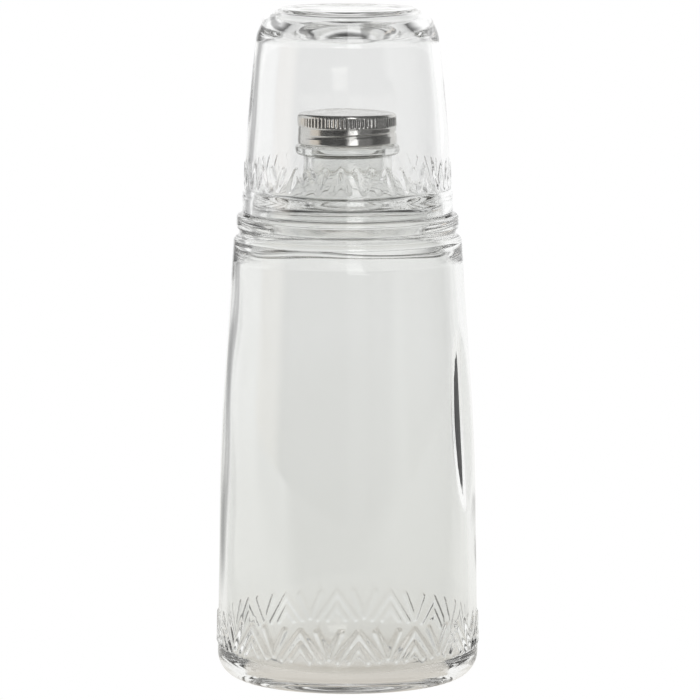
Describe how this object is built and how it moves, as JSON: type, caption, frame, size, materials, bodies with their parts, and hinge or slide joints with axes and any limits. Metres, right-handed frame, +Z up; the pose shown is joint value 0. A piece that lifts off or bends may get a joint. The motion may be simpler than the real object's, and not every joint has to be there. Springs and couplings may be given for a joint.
{
  "type": "glass carafe with tumbler",
  "caption": "Pressed-glass water carafe with a knurled metal screw cap and an upturned tumbler that rests on the shoulder ring over the cap.",
  "frame": {"origin": "centre of the bottle's standing plane", "axes": "+Z up along the common axis of the bottle, the cap and the tumbler; X and Y lie in the standing plane"},
  "size_m": [0.1064, 0.1064, 0.27],
  "materials": {
    "bottle_glass": "clear fire-polished soda-lime glass with slight mould waviness",
    "tumbler_glass": "clear fire-polished soda-lime glass with slight mould waviness",
    "cap_metal": "bright rolled tinplate with a fine knurl",
    "liner_foam": "smooth foamed polyethylene disc"
  },
  "bodies": {
    "bottle": {"bottle": "bottle_glass"},
    "cap_liner": {"cap_liner": "liner_foam"},
    "cap_shell": {"cap_shell": "cap_metal"},
    "tumbler": {"tumbler": "tumbler_glass"}
  },
  "joints": [
    {"name": "cap_rise", "type": "slide", "parent": "bottle", "child": "cap_liner", "axis": [0, 0, 1], "range_m": [0, 0.0106]},
    {"name": "cap_twist", "type": "hinge", "parent": "cap_liner", "child": "cap_shell", "pos_m": [0, 0, 0.2225], "axis": [0, 0, 1], "range_deg": [0, 900]},
    {"name": "tumbler_lift", "type": "slide", "parent": "bottle", "child": "tumbler", "axis": [0, 0, 1], "range_m": [0, 0.06]}
  ],
  "couplings": [
    {"joint": "cap_rise", "follows": "cap_twist", "m_per_rad": 0.0006737}
  ]
}
